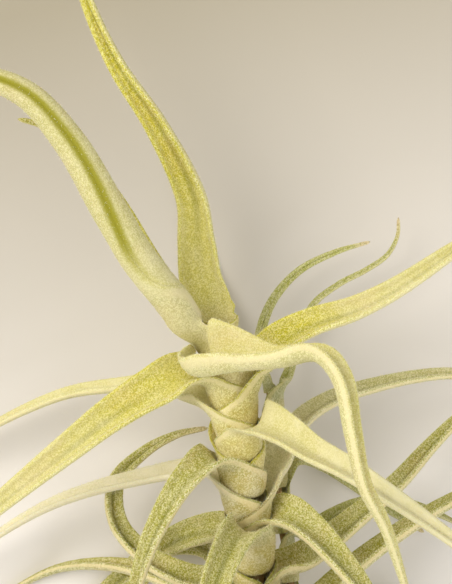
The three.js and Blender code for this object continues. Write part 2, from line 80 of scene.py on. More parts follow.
# Clearance between nested sheaths, and the least and most that a sheath's wall is thick.
SHEATH_GAP = 0.18
SHEATH_WALL = (0.5, 0.65)

# Half the angle of a sheath's wrap in its closed foot and at its mouth, in degrees, the share of its length
# where it starts to open, and how late it opens. SHEATH_SWELL under 1 makes it a column, not a cone.
SHEATH_WRAP = (179, 88)
SHEATH_OPENS = 0.45
OPENS_LATE = 1.4
SHEATH_SWELL = 0.35

# The blade's half width laid flat near its base and at its tip, and its thickness at both.
BLADE_WIDTH = 3.6
TIP_WIDTH = 0.35
BLADE_THICK = 0.78
TIP_THICK = 0.46

# Half the angle of the blade section's arc, in degrees: just past the sheath, then further out and at the
# tip. Then shares of the blade's length: where the first becomes the second, from and to, and over how much
# of it the wrap and the width of the sheath's mouth die out.
BASE_ROLL = 64
BLADE_ROLL = (74, 115)
BASE_UNROLLS = (0.04, 0.3)
WRAP_FADES = 0.03
WIDTH_FADES = 0.06

# Shares of the blade's length, from and to: where its sections turn from the stem's direction to its own,
# where its wall gets as thick as the blade, where the channel fills in and where it thins. Then the share at
# its end that rounds off.
TURNS_AWAY = (-0.02, 0.07)
BLADE_THICKENS = (0, 0.1)
CHANNEL_FILLS = (0.72, 0.94)
BLADE_THINS = (0.75, 1)
END_ROUNDS = 0.025

# How deep the line along the middle of the channel is, how wide as a share of the blade, and between which
# shares of the length it deepens.
GROOVE = 0.16
GROOVE_WIDTH = 0.1
GROOVE_STARTS = (0.02, 0.2)

# How thick a sheath's margins are, as a share of its wall, from which share of the half width they thin, and
# how far past the mouth they are full again. How square a section's edges are, where 2 is an ellipse.
THIN_MARGIN = 0.3
MARGIN_STARTS = 0.4
MARGIN_FILLS = 5
EDGE_POWER = 10

# A leaf rolled into a tube, by shares of its length: where its path goes over from the midrib to the middle
# of the tube, and where the tube fills in. Then the least radius of what stays open.
TUBE_STARTS = (0.01, 0.1)
TUBE_FILLS = (0.02, 0.12)
TUBE_BORE = 0.04

# The two margins of such a leaf meet in a shallow groove as half the arc's angle passes SEAM_CLOSES, in
# degrees: how square they stay there, how deep the groove is, the share of the half width where its sides
# start, and between which shares of the blade's length it comes out of the felt. The groove is painted darker
# and
# greener: the inner face showing, and painted shade of the slit between the margins.
SEAM_CLOSES = (170, 178)
SEAM_POWER = 12
SEAM_DIP = 0.3
SEAM_SIDES = 0.86
SEAM_SHOWS = (0.2, 0.36)

# How far past its mouth a blade keeps clear of the younger leaves inside it, over how much to both sides of
# that it lets go, how much it spreads there, and the share of its length that this is limited to.
CLASP_REACH = 6
CLASP_FADES = 2
CLASP_SPREAD = 0.22
CLASP_SHARE = 0.3

# Colours that all the leaves share: the sheath low down, a darker straw that is partly painted shade towards
# the crease at the next older leaf's mouth, a faint rosy flush, and dried margins.
STRAW_AND_SHADE = "#b8a640"
BLUSH = "#dcb184"
WITHERED = "#8b5a2b"

# The main stem's youngest leaves are the yellow-green ones.
YOUNG_LEAVES = 9

# A hair's length, the width of its root, how far it leans, in radians, and how its size varies.
HAIR_LENGTH = 0.4
HAIR_WIDTH = 0.055
HAIR_LEAN = 0.95
HAIR_SIZES = (0.5, 1.15)

# How many hairs grow on a square millimetre of the listed leaves, the lower leaves and the side shoot's, and
# what that is multiplied by: on the sheath from BARE_BELOW under its mouth down, on the blade, and what the
# blade's margins add.
HAIRS = dict(upper=7, lower=3, side=4)
FUZZ = dict(sheath=0.2, blade=0.4, margin=1.5)
BARE_BELOW = 2.4

# How finely a leaf is divided: rings up the sheath, how much closer they stand at its foot, rings along the
# blade, and points round a ring. Points closer than SAME_POINT are merged.
SHEATH_RINGS = 10
FOOT_RINGS = 1.3
BLADE_RINGS = 84
AROUND = 36
SAME_POINT = 0.0008

# The camera's distance to the main stem's line near its tip, and how much of the plant fits across the
# picture there: a width of 452 pixels, at 7 to the millimetre.
VIEW_DISTANCE = 250
VIEW_WIDTH = 452 / 7

# The strength of the sky's soft light. The spot that both lamps are turned to and how far the table reaches
# from the plant are in metres.
SKY = 0.68
LIT_SPOT = (0, 0, 0.02)
TABLE_REACH = 1.5

# The leaves given one by one, youngest first. A share is of the blade's length. completed() adds what isn't
# given.
#   below: how far the sheath's mouth lies below the stem's tip
#   round: where on the stem the midrib stands, in degrees, where 0 is +X and 90 is up from the table
#   path: the midrib beyond the mouth, or the middle of the tube that a rolled leaf makes
#   faces: the directions that the channel opens to, each after the share at which it is reached
#   twist_from: the share at which it starts to turn to the first of them
#   width, taper: the width against the usual blade's, and how late the blade narrows: over 1 keeps it wide
#   roll, roll_ease: half the arc's angle near the base and at the tip, and how late it goes over
#   base_roll: half the arc's angle just past the sheath
#   mouth: half the angle of the sheath's wrap at its mouth
#   ears: stretches of a margin that stand up: its side, where each begins, peaks and ends, and its height
#   silver, base_silver: how pale its scales make it further out and near the base, from 0 to about 1
#   worn: how brown the margins are at the mouth
#   rolled, hollow: 1 for a leaf rolled into a tube round its path, and how deep the channel inside it stays
#   sheath_start, sheath_length: the radius of the sheath's closed foot and the sheath's length
SET_LEAVES = [
    dict(below=1.4, base_silver=0.2, round=-100, width=1.2, roll=(82, 132), roll_ease=0.7,
         mouth=64, sheath_start=1.25, sheath_length=3,
         faces=[(0.1, -0.1, 0, 1), (0.35, -0.4, -0.1, 0.9)],
         path=[(-3.4, 1.5, -3.4), (-3.9, 7, -3.2), (-4.4, 13.6, -2.4), (-9.2, 23.4, -1), (-15.2, 32.3, 0),
               (-19.4, 41, 1), (-23.5, 54, 0)]),
    dict(below=3.9, round=214, width=0.5, mouth=68, sheath_start=1.1, sheath_length=4, taper=2.6,
         twist_from=0.15, faces=[(0.4, 0.2, 0.3, 0.9)],
         path=[(-6.2, -3, -4.4), (-10.6, 3.6, -3), (-15.6, 12.4, 0.6), (-20.4, 19.2, 4.4),
               (-24.4, 22.6, 7.4), (-28.7, 23.8, 9.5)]),
    dict(below=6.3, round=150, width=1.75, taper=3.2, roll=(180, 180), base_roll=180, mouth=90,
         silver=0.3, base_silver=0.45, rolled=1, hollow=0.06, twist_from=0.08,
         faces=[(0.28, -0.25, -0.1, 1), (0.5, 0.15, 0.1, 1)],
         path=[(-4.6, -6.2, 3.6), (-6.8, -2.3, 5.4), (-12.1, 4.7, 9.4), (-16, 11.4, 12.2),
               (-20.9, 20, 15.6), (-26.4, 26.1, 18.4), (-32, 28.2, 19.6), (-38, 27.7, 18.8),
               (-43, 25.4, 17)]),
    dict(below=8.7, silver=0.4, round=124, width=1.16, roll=(94, 112), base_roll=90, mouth=92,
         ears=[(-1, 4.8, 9, 17, 4.2), (1, 3.5, 8.5, 14, 1.3)],
         faces=[(0.06, 0.1, 0.78, 0.62), (0.24, 0.2, 0.93, 0.36), (0.5, 0.85, 0.3, 0.4)],
         path=[(-3.5, -11.3, 7.4), (1.4, -10.4, 12.2), (7.8, -9.7, 16.4), (12, -8.9, 20),
               (14.3, -11.6, 22), (15.7, -18, 22.4), (17.4, -25, 21.4), (20.6, -31, 18.6),
               (23.6, -38.6, 13.6), (26, -45.6, 8.5)]),
    dict(below=11, silver=0.42, base_silver=0.1, round=176, faces=[(0.12, 0.1, 0.56, 0.82)], width=1.12,
         path=[(-6, -12.4, 1.8), (-10.8, -14.6, 3), (-16.6, -18.3, 4), (-21.8, -22.3, 4), (-27, -26.4, 3),
               (-32.2, -30.6, 1), (-38.3, -35.7, -2), (-45.5, -41.4, -6), (-50.5, -45.6, -9)]),
    dict(below=13.3, silver=0.5, base_silver=0, round=-4, faces=[(0.12, -0.2, 0.6, 0.8)], width=0.98,
         path=[(5.2, -11.4, -0.2), (7.6, -7.8, -0.6), (12.1, -5.2, -0.8), (18.5, -3, -0.5),
               (23.3, -0.6, 0), (27.7, 2.2, 0), (32.3, 5.4, 0), (39.3, 9.5, -1), (46.1, 12.1, -3),
               (51, 13, -5)]),
    dict(below=15.5, silver=0.6, round=203, faces=[(0.12, 0, 0.85, 0.5)], width=0.7,
         path=[(-4.8, -15.6, -3.8), (-9, -13.8, -7.4), (-15.8, -14.4, -11), (-24.1, -15.7, -14),
               (-34.5, -20.1, -17), (-41.7, -24.6, -19.6), (-48.5, -30.2, -22.6)]),
    dict(below=18, silver=1, base_silver=0.6, round=46, width=0.9,
         faces=[(0.07, 0.1, 0.5, 0.87), (0.3, 0.1, 0.65, 0.75)],
         path=[(5.2, -18.8, 4.6), (8.1, -19.9, 7.4), (11.6, -22.2, 10), (16.1, -24.4, 12),
               (20.8, -27.2, 13), (25.6, -30.4, 12.6), (31.3, -34.5, 11), (37.2, -39.3, 8),
               (41.4, -43.4, 5)]),
    dict(below=20.3, round=-100, faces=[(0.12, 0, -0.4, 1)], width=0.85,
         path=[(0.8, -17.4, -9.5), (-0.2, -11, -16), (-1.8, -3, -21), (-3.6, 5, -23.6), (-5.8, 14, -24),
               (-8.8, 22, -23.9), (-13.4, 30.4, -23.7)]),
    dict(below=23, silver=0, round=146, faces=[(0.12, -0.3, 0.7, 0.65)], width=0.8,
         path=[(-2.2, -24.2, 3.5), (-4.4, -25.7, 5.6), (-6.5, -28.2, 6.8), (-8.4, -31.4, 7),
               (-10.4, -35.6, 6.4), (-12.2, -41.2, 4.4), (-13.8, -47.4, 2), (-15.6, -54.6, -1),
               (-18, -62, -4.5)]),
    dict(below=26.4, silver=1.05, round=206, faces=[(0.12, 0, 0.85, 0.5)], width=0.72,
         path=[(-2.6, -26.4, -4.4), (-7, -26.8, -7), (-13, -28.1, -9.2), (-20, -29.9, -11),
               (-26.4, -32.3, -12.5), (-33, -36, -14.5), (-39.8, -41, -17.4), (-45.6, -46.6, -20.4)]),
    dict(below=28.8, silver=0.25, base_silver=0.45, worn=1, round=-32, width=0.75,
         faces=[(0.12, -0.3, 0.75, 0.6)],
         path=[(7.4, -26.4, -5), (9.2, -22.4, -7), (11.9, -18.9, -8.6), (16.4, -16.2, -10),
               (23, -14.2, -11.2), (29, -13, -12.4), (34, -12.6, -13.4), (41.3, -13.6, -14.6),
               (48.5, -16, -16.4), (54, -19.4, -18.6)]),
    dict(below=31.5, round=14, faces=[(0.12, 0.3, 0.8, 0.5)],
         path=[(8.5, -32.6, 0.5), (11.6, -34.4, 2.3), (15, -37.8, 3.6), (18.4, -42, 3.6),
               (21.6, -47.6, 1.6), (24.4, -54, -2.4), (26.2, -61, -7), (27.4, -67.4, -12.6)]),
    dict(below=34.4, round=98, faces=[(0.12, 0, 0.6, 0.8)],
         path=[(2.6, -33.6, 6.2), (0.8, -35, 11), (-1.2, -39, 15.4), (-3, -45.6, 18), (-4.4, -53.6, 18),
               (-5, -62, 15.4), (-4.6, -70, 11)]),
    dict(below=37.4, round=-112, faces=[(0.12, 0, 0.5, 1)],
         path=[(1.4, -36.6, -9.6), (-2, -36.4, -15), (-7.4, -38.4, -19.4), (-14, -43, -22.4),
               (-21.4, -49.6, -23.6), (-28.6, -57.4, -23.6), (-35, -66, -23.6)]),
    dict(below=40.4, round=-16, faces=[(0.12, -0.3, 0.8, 0.5)],
         path=[(10.2, -40.4, -5.4), (14.4, -38, -7), (19.6, -34, -8.6), (25.6, -29, -10),
               (31, -23.4, -12.6), (36.2, -18.8, -15.6), (41, -16.6, -19), (45.4, -16.8, -22)]),
    dict(below=43.7, round=188, faces=[(0.12, 0.4, 0.7, 0.5)],
         path=[(-1.4, -43.4, -5.6), (-6, -42.8, -7.8), (-12, -40, -10), (-16.6, -34.8, -11.6),
               (-16.8, -29.2, -13), (-12.6, -24.6, -14), (-7.6, -21.8, -14.6), (-2.6, -20.6, -15)]),
]

# The leaves of the lower stem follow a rule: they stand a golden angle apart, arch out and curl back. Lean is
# the angle out of the stem's direction, and sway is how far a leaf bends to one side, both in degrees. A
# lean_ease under 1 makes it lean out early. The lowest leaves are dry: shorter, narrower and more curled.
LOWER = dict(count=10, first_below=47, spacing=3.3, first_round=68, turn=137.5, length=(54, 66),
             first_lean=26, end_lean=(96, 138), lean_ease=0.55, sway=(-26, 26),
             dry=3, dry_size=0.72, dry_lean=24)

# Such a blade comes down to the table over SETTLE and lies with its midrib REST_ABOVE it, and its path is
# kept at these shares of its length.
SETTLE = 7
REST_ABOVE = 0.4
PATH_MARKS = (0.06, 0.16, 0.3, 0.46, 0.64, 0.82, 1)

# The side shoot's leaves, youngest first, given one by one like the others.
SIDE_LEAVES = [
    dict(below=0.4, round=130, faces=[(0.12, 0.3, 0.2, 1)], width=0.26, sheath_length=1.4, sheath_start=0.4,
         path=[(5.6, -11.4, -16), (5, -8.6, -16.6), (5.5, -5, -17), (7.4, -0.8, -17), (11.2, 3.3, -16),
               (16.5, 6, -15), (21.8, 7.6, -14)]),
    dict(below=2.2, round=20, faces=[(0.12, -0.4, 0.6, 0.7)], width=0.2, sheath_length=14,
         path=[(9.3, -13.5, -17.2), (11.2, -7.6, -18), (13.2, -2.2, -18), (17.1, 1.1, -17),
               (21.4, 3.4, -16.6), (24.6, 5.7, -16.4), (26.1, 8.6, -16.2), (26.2, 11.4, -16)]),
    dict(below=16.5, round=-80, faces=[(0.12, 0.2, 0.3, 1)], width=0.55,
         path=[(9.6, -26, -19.4), (12, -25.6, -21.8), (15.6, -27.2, -23.2), (20, -30.2, -23.6),
               (25.2, -33.9, -23.6), (31, -37.6, -23.6)]),
    dict(below=24, round=8, faces=[(0.12, 0, 0.8, 0.6)], width=0.6,
         path=[(12.2, -37.4, -15.8), (16, -34.6, -15.2), (20.6, -32.4, -15), (25.8, -32, -15.4),
               (31, -33.4, -16.6), (36.4, -36, -18.4)]),
    dict(below=31.5, round=-120, faces=[(0.12, 0, 0.4, 1)], width=0.55,
         path=[(8.4, -43.6, -18.4), (7.2, -43, -21), (3.6, -44.6, -23.2), (-2.4, -48.6, -23.6),
               (-8, -54.4, -23.6)]),
    dict(below=38.5, round=-20, faces=[(0.12, 0, 0.8, 0.6)], width=0.6,
         path=[(13.4, -50.6, -17), (17.8, -48.8, -19.2), (23.6, -48.2, -21.4), (30, -49, -22.8),
               (36.4, -50.4, -23.6), (43, -50.4, -23.6)]),
]


def clamp(x, low=0.0, high=1.0):
    return min(max(x, low), high)


def lerp(a, b, t):
    return a + (b - a) * t


def smooth(x, low, high):
    t = clamp((x - low) / (high - low))
    return t * t * (3 - 2 * t)


def whole(x):
    return math.floor(x + 0.5)


def spread(n, ends):
    """A value between two ends for each whole number n, evenly spread: the golden ratio's multiples."""
    return lerp(*ends, (n * 0.618034) % 1)


def spline(points, steps):
    """Points on a centripetal Catmull-Rom curve through the given ones, with some steps between two."""
    points = [Vector(p) for p in points]
    chain = [points[0] * 2 - points[1], *points, points[-1] * 2 - points[-2]]
    out = []
    for p0, p1, p2, p3 in zip(chain, chain[1:], chain[2:], chain[3:]):
        d0, d1, d2 = [math.sqrt((b - a).length) for a, b in ((p0, p1), (p1, p2), (p2, p3))]
        start = ((p1 - p0) / d0 - (p2 - p0) / (d0 + d1) + (p2 - p1) / d1) * d1
        end = ((p2 - p1) / d1 - (p3 - p1) / (d1 + d2) + (p3 - p2) / d2) * d1
        for i in range(steps):
            u = i / steps
            bend = 3 * (p2 - p1) - 2 * start - end
            ease = 2 * (p1 - p2) + start + end
            out.append(p1 + start * u + bend * u ** 2 + ease * u ** 3)
    out.append(points[-1])
    return out


def lengths(dots):
    """The distance along a row of points at each of them."""
    total = [0.0]
    for a, b in zip(dots, dots[1:]):
        total.append(total[-1] + (b - a).length)
    return total


class StemLine:
    """A shoot's centre line, read by the distance below its tip."""

    def __init__(self, shoot):
        self.dots = list(reversed(spline(shoot["line"], 40)))
        self.reach = lengths(self.dots)
        self.length = self.reach[-1]
        self.tree = KDTree(len(self.dots))
        for i, p in enumerate(self.dots):
            self.tree.insert(p, i)
        self.tree.balance()

    def at(self, below):
        """The point and the direction to the tip, that far below it."""
        below = clamp(below, 0, self.length)
        k = next(i for i in range(1, len(self.reach)) if self.reach[i] >= below or i == len(self.reach) - 1)
        a, b = self.dots[k - 1], self.dots[k]
        share = (below - self.reach[k - 1]) / (self.reach[k] - self.reach[k - 1])
        return a.lerp(b, share), (a - b).normalized()

    def nearest(self, p):
        """The line's point that is nearest to p, and how far below the tip it is."""
        _, k, _ = self.tree.find(p)
        first, last = max(k - 1, 0), min(k + 1, len(self.dots) - 1)
        a, b = self.dots[first], self.dots[last]
        share = clamp((p - a).dot(b - a) / (b - a).length_squared)
        return a.lerp(b, share), lerp(self.reach[first], self.reach[last], share)


def outward(axis, angle):
    """The direction out of the stem at an angle round it: 0 is +X and 90 is up from the table."""
    right = (Vector((1, 0, 0)) - axis * axis.x).normalized()
    up = right.cross(axis)
    return right * math.cos(math.radians(angle)) + up * math.sin(math.radians(angle))


def arched_path(shoot, line, leaf):
    """The path of a leaf that follows the rule: it leans out, sways, and glides onto the table."""
    start, axis = line.at(leaf["below"])
    out = outward(axis, leaf["round"])
    side = axis.cross(out)
    p = start + out * (shoot["sheath_start"] + shoot["flare"] * shoot["sheath_length"])
    rest = TABLE + REST_ABOVE
    marks = {whole(m * leaf["length"]) for m in PATH_MARKS}
    path = []
    for s in range(1, math.floor(leaf["length"]) + 2):
        if s > leaf["length"]:
            break
        t = s / leaf["length"]
        lean = math.radians(lerp(LOWER["first_lean"], leaf["end_lean"], t ** LOWER["lean_ease"]))
        sway = math.radians(leaf["sway"] * t)
        step = axis * math.cos(lean) + (out * math.cos(sway) + side * math.sin(sway)) * math.sin(lean)
        steepest = -max(0, p.z - rest) / SETTLE
        if step.z < steepest:
            step.z = steepest
            # One that comes straight down is turned towards the plant's foot.
            if math.hypot(step.x, step.y) < 0.35:
                step.y -= 0.5
            step.normalize()
        p = p + step
        if s in marks:
            path.append(p.copy())
    return path


def completed(shoot, leaves):
    """Adds what a leaf takes from its shoot, and its wall from the room to the next younger leaf."""
    done = []
    for i, leaf in enumerate(leaves):
        room = 0 if i == 0 else shoot["flare"] * (leaf["below"] - leaves[i - 1]["below"]) - SHEATH_GAP
        full = dict(
            width=1, taper=1, base_roll=BASE_ROLL, roll=BLADE_ROLL, roll_ease=1.3, twist_from=0, faces=[],
            ears=[], silver=0, worn=0, rolled=0, hollow=1,
            mouth=SHEATH_WRAP[1], sheath_start=shoot["sheath_start"], sheath_length=shoot["sheath_length"])
        full.update(leaf, wall=clamp(room, *SHEATH_WALL))
        full.setdefault("base_silver", full["silver"])
        radius = full["sheath_start"] + shoot["flare"] * full["sheath_length"] + full["wall"] / 2
        full["widening"] = radius * math.radians(full["mouth"]) - full["width"] * (TIP_WIDTH + BLADE_WIDTH)
        full["foot"] = full["below"] + full["sheath_length"]
        done.append(full)
    return done


def sheath_radius(shoot, leaf, below):
    """How far the inside of a leaf's sheath, or the line of its clasping base, is from the stem's line."""
    share = (leaf["foot"] - below) / leaf["sheath_length"]
    swell = clamp(share) ** SHEATH_SWELL if share < 1 else share
    return leaf["sheath_start"] + shoot["flare"] * leaf["sheath_length"] * swell


def leaf_rings(shoot, line, leaf):
    """A leaf's rings from foot to tip: its midrib's place, how the channel opens, and the section's size."""
    rings = []
    for i in range(SHEATH_RINGS):
        share = (i / SHEATH_RINGS) ** FOOT_RINGS
        below = leaf["foot"] - leaf["sheath_length"] * share
        centre, axis = line.at(below)
        out = outward(axis, leaf["round"])
        radius = sheath_radius(shoot, leaf, below) + leaf["wall"] / 2
        opened = clamp((share - SHEATH_OPENS) / (1 - SHEATH_OPENS)) ** OPENS_LATE
        roll = math.radians(lerp(SHEATH_WRAP[0], leaf["mouth"], opened))
        thick = 0 if i == 0 else leaf["wall"]
        rings.append(dict(at=centre + out * radius, opens=-out, across=axis.cross(-out), half=radius * roll,
                          roll=roll, thick=thick, hollow=1, t=0, s=leaf["below"] - below))

    centre, axis = line.at(leaf["below"])
    out = outward(axis, leaf["round"])
    radius = leaf["sheath_start"] + shoot["flare"] * leaf["sheath_length"] + leaf["wall"] / 2
    mouth = centre + out * radius
    steps = 20
    dots = spline([rings[0]["at"], mouth, *leaf["path"]], steps)[steps:]
    reach = lengths(dots)
    tangent, carried = axis, -out
    k = 0
    for i in range(BLADE_RINGS + 1):
        t = i / BLADE_RINGS
        s = t * reach[-1]
        while k < len(dots) - 2 and reach[k + 1] < s:
            k += 1
        at = dots[k].lerp(dots[k + 1], (s - reach[k]) / (reach[k + 1] - reach[k]))
        ahead = axis.lerp((dots[k + 1] - dots[k]).normalized(), smooth(t, *TURNS_AWAY)).normalized()
        carried = tangent.rotation_difference(ahead) @ carried
        tangent = ahead
        opens = carried.copy()
        start = leaf["twist_from"]
        for end, *direction in leaf["faces"]:
            opens = opens.lerp(Vector(direction).normalized(), smooth(t, start, end))
            start = end
        opens = (opens - ahead * opens.dot(ahead)).normalized()
        half = leaf["width"] * (TIP_WIDTH + BLADE_WIDTH * (1 - t ** leaf["taper"]))
        half += leaf["widening"] * math.exp(-t / WIDTH_FADES)
        base, tip = leaf["roll"]
        first = leaf["base_roll"]
        roll = lerp(first, base, smooth(t, *BASE_UNROLLS))
        roll += (leaf["mouth"] - first) * math.exp(-t / WRAP_FADES)
        roll += (tip - base) * t ** leaf["roll_ease"]
        at = at - opens * (leaf["rolled"] * smooth(t, *TUBE_STARTS) * half / math.radians(roll))
        thick = lerp(leaf["wall"], BLADE_THICK, smooth(t, *BLADE_THICKENS))
        thick = lerp(thick, TIP_THICK, smooth(t, *BLADE_THINS))
        closing = math.sqrt(max(0, 1 - clamp((t - 1 + END_ROUNDS) / END_ROUNDS) ** 2))
        hollow = lerp(1, leaf["hollow"], smooth(t, *TUBE_FILLS)) * (1 - smooth(t, *CHANNEL_FILLS))
        rings.append(dict(at=at, opens=opens, across=ahead.cross(opens), half=half * closing,
                          roll=math.radians(roll), thick=thick * closing, hollow=hollow, t=t, s=s))
    return rings


def section_point(ring, v, h):
    """A point of a ring: v is -1 to 1 from margin to margin, and h is 1 outside and -1 in the channel."""
    if ring["half"] < 1e-6:
        return ring["at"].copy()
    radius = ring["half"] / ring["roll"]
    rounded = h * math.sqrt(1 - v ** EDGE_POWER)
    on_sheath = 1 - smooth(ring["s"], 0, MARGIN_FILLS)
    thin = 1 - (1 - THIN_MARGIN) * smooth(abs(v), MARGIN_STARTS, 1) * on_sheath
    closed = smooth(ring["roll"], *[math.radians(angle) for angle in SEAM_CLOSES])
    r = radius + (rounded * thin + closed * abs(v) ** SEAM_POWER) * ring["thick"] / 2
    r -= SEAM_DIP * closed * smooth(ring["t"], *SEAM_SHOWS) * smooth(abs(v), SEAM_SIDES, 1)
    r = max(r, TUBE_BORE)
    a = v * ring["roll"]
    deep = radius - r * math.cos(a)
    wide = r * math.sin(a)
    if h < 0:
        brim = radius - radius * math.cos(ring["roll"])
        deep = lerp(brim, deep, ring["hollow"])
        if ring["roll"] > math.pi / 2:
            wide *= lerp(math.sin(ring["roll"]), 1, ring["hollow"])
        groove = GROOVE * math.exp(-(v / GROOVE_WIDTH) ** 2)
        deep -= groove * ring["hollow"] * smooth(ring["t"], *GROOVE_STARTS)
    return ring["at"] + ring["opens"] * deep + ring["across"] * wide


def ear_rise(ear, s, v):
    """How far an ear lifts a point that is s along the blade, at v across it."""
    side, begins, peaks, ends, height = ear
    window = smooth(s, begins, peaks) if s < peaks else 1 - clamp((s - peaks) / (ends - peaks))
    return height * window * smooth(v * side, 0.3, 1)


def keep_outside(shoot, line, leaf, p, h):
    """p, moved out of the way of the younger leaves that the leaf's base clasps."""
    centre, below = line.nearest(p)
    past = leaf["below"] - below
    if past > CLASP_REACH + CLASP_FADES or below < 0.05:
        return p
    need = sheath_radius(shoot, leaf, below) + CLASP_SPREAD * max(0, past)
    need += leaf["wall"] * (0.5 + 0.5 * h)
    need *= 1 - smooth(past, CLASP_REACH - CLASP_FADES, CLASP_REACH + CLASP_FADES)
    away = p - centre
    return centre + away.normalized() * need if away.length < need else p


def finish_mesh(bm, name):
    """Turns a bmesh in the plant's millimetres into an object in the frame's metres."""
    bmesh.ops.remove_doubles(bm, verts=bm.verts, dist=SAME_POINT)
    bmesh.ops.recalc_face_normals(bm, faces=bm.faces)
    bmesh.ops.translate(bm, verts=bm.verts, vec=SHIFT)
    bmesh.ops.scale(bm, verts=bm.verts, vec=(MM, MM, MM))
    for face in bm.faces:
        face.smooth = True
    mesh = bpy.data.meshes.new(name)
    bm.to_mesh(mesh)
    bm.free()
    obj = bpy.data.objects.new(name, mesh)
    bpy.context.scene.collection.objects.link(obj)
    return obj


def build_leaf(name, shoot, line, leaf):
    """One leaf: a grid wrapped round its rings, which carries where it is and how it looks as attributes.

    along is the distance past the mouth in millimetres, blade is the share of the blade's length, across goes
    from -1 to 1 from margin to margin, and outer is 0 in the channel and 1 on the outer face. One attribute
    says how much a margin faces up to the light, for a painted highlight. The others say how silvery and how
    worn a place is, where a rolled leaf's seam is painted darker and greener, partly as painted shade of its
    slit, and how densely hairs grow.
    """
    rings = leaf_rings(shoot, line, leaf)
    bm = bmesh.new()
    bmesh.ops.create_grid(bm, x_segments=AROUND, y_segments=len(rings) - 1, size=1)
    keys = ("along", "blade", "across", "outer", "bleach", "silver", "worn", "seam", "fuzz")
    layers = {key: bm.verts.layers.float.new(key) for key in keys}
    rows = [[] for _ in rings]
    for vert in bm.verts:
        row = whole((vert.co.y + 1) / 2 * (len(rings) - 1))
        ring = rings[row]
        # Round the section, v goes from one margin to the other along the outside and back in the channel.
        angle = math.pi * (vert.co.x + 1)
        v = -math.cos(angle)
        h = clamp(math.sin(angle) * 4, -1, 1)
        vert.co = section_point(ring, v, h)
        for ear in leaf["ears"]:
            vert.co += ring["opens"] * ear_rise(ear, ring["s"], v)
        if ring["t"] < CLASP_SHARE:
            vert.co = keep_outside(shoot, line, leaf, vert.co, h * math.sqrt(1 - v ** EDGE_POWER))
        vert[layers["along"]] = ring["s"]
        vert[layers["blade"]] = ring["t"]
        vert[layers["across"]] = v
        vert[layers["outer"]] = 0.5 + 0.5 * h
        silver = lerp(leaf["base_silver"], leaf["silver"], smooth(ring["t"], 0.2, 0.4))
        vert[layers["silver"]] = silver * smooth(ring["s"], -1.5, 1.5)
        # A rolled leaf's seam is painted darker and greener: its inner face, and painted shade of the slit.
        at_seam = smooth(ring["t"], *SEAM_SHOWS) * smooth(abs(v), 0.84, 0.96)
        vert[layers["seam"]] = 0.95 * leaf["rolled"] * at_seam
        vert[layers["worn"]] = leaf["worn"] * smooth(ring["s"], 3, 0)
        # A margin that faces up to the light gets a painted highlight.
        vert[layers["bleach"]] = smooth(v * ring["across"].z, 0.1, 0.7)
        fringe = FUZZ["margin"] * (1 - leaf["rolled"]) * smooth(abs(v), 0.75, 0.95)
        vert[layers["fuzz"]] = FUZZ["sheath"] if ring["s"] < -BARE_BELOW else FUZZ["blade"] + fringe
        rows[row].append(vert)
    # A ring that dips below the table top is lifted onto it.
    for row in rows:
        lift = TABLE - min(vert.co.z for vert in row)
        if lift > 0:
            for vert in row:
                vert.co.z += lift
    return finish_mesh(bm, name)


def build_stem(name, shoot, line):
    """A shoot's own stem: round, thicker and broken off at its foot, with a blunt tip inside leaf 1."""
    sides = 24
    steps = 60
    bm = bmesh.new()
    bmesh.ops.create_grid(bm, x_segments=sides, y_segments=steps + 2, size=1)
    for vert in bm.verts:
        angle = math.pi * (vert.co.x + 1)
        row = whole((vert.co.y + 1) / 2 * (steps + 2))
        share = clamp((row - 1) / steps)
        below = lerp(line.length, shoot["bare_tip"], share)
        centre, axis = line.at(below)
        thicker = shoot["foot_radius"] - shoot["stem_radius"]
        radius = shoot["stem_radius"] + thicker * math.exp((below - line.length) / FOOT_FLARE)
        # Low ridges wind round the stem, as its dry fibres do.
        radius *= 1 + 0.05 * math.sin(3 * angle + below) + 0.03 * math.sin(7 * angle - 1.7 * below)
        # The first and the last row close the ends, and the row before the last makes the tip blunt.
        if row in (0, steps + 2):
            radius = 0
        elif row == steps + 1:
            radius *= 0.5
        vert.co = centre + outward(axis, math.degrees(angle)) * radius
    return finish_mesh(bm, name)


# Materials

def colour(hex_code):
    """An sRGB colour such as "#c0ffee" as linear red, green, blue and alpha."""
    parts = [int(hex_code[i:i + 2], 16) / 255 for i in (1, 3, 5)]
    linear = [c / 12.92 if c <= 0.04045 else ((c + 0.055) / 1.055) ** 2.4 for c in parts]
    return (*linear, 1)


def add_node(tree, kind, inputs=None, **settings):
    """Adds a node, sets its settings, and links or sets each of its inputs."""
    node = tree.nodes.new(kind)
    for key, value in settings.items():
        setattr(node, key, value)
    for key, value in (inputs or {}).items():
        if isinstance(value, bpy.types.NodeSocket):
            tree.links.new(value, node.inputs[key])
        else:
            node.inputs[key].default_value = value
    return node


def new_material(name, **constants):
    """A material with its shader, whose plain numbers are set on the shader's own sockets."""
    material = bpy.data.materials.new(name)
    material.use_nodes = True
    shader = material.node_tree.nodes["Principled BSDF"]
    for key, value in constants.items():
        shader.inputs[key.replace("_", " ")].default_value = value
    return material, material.node_tree, shader


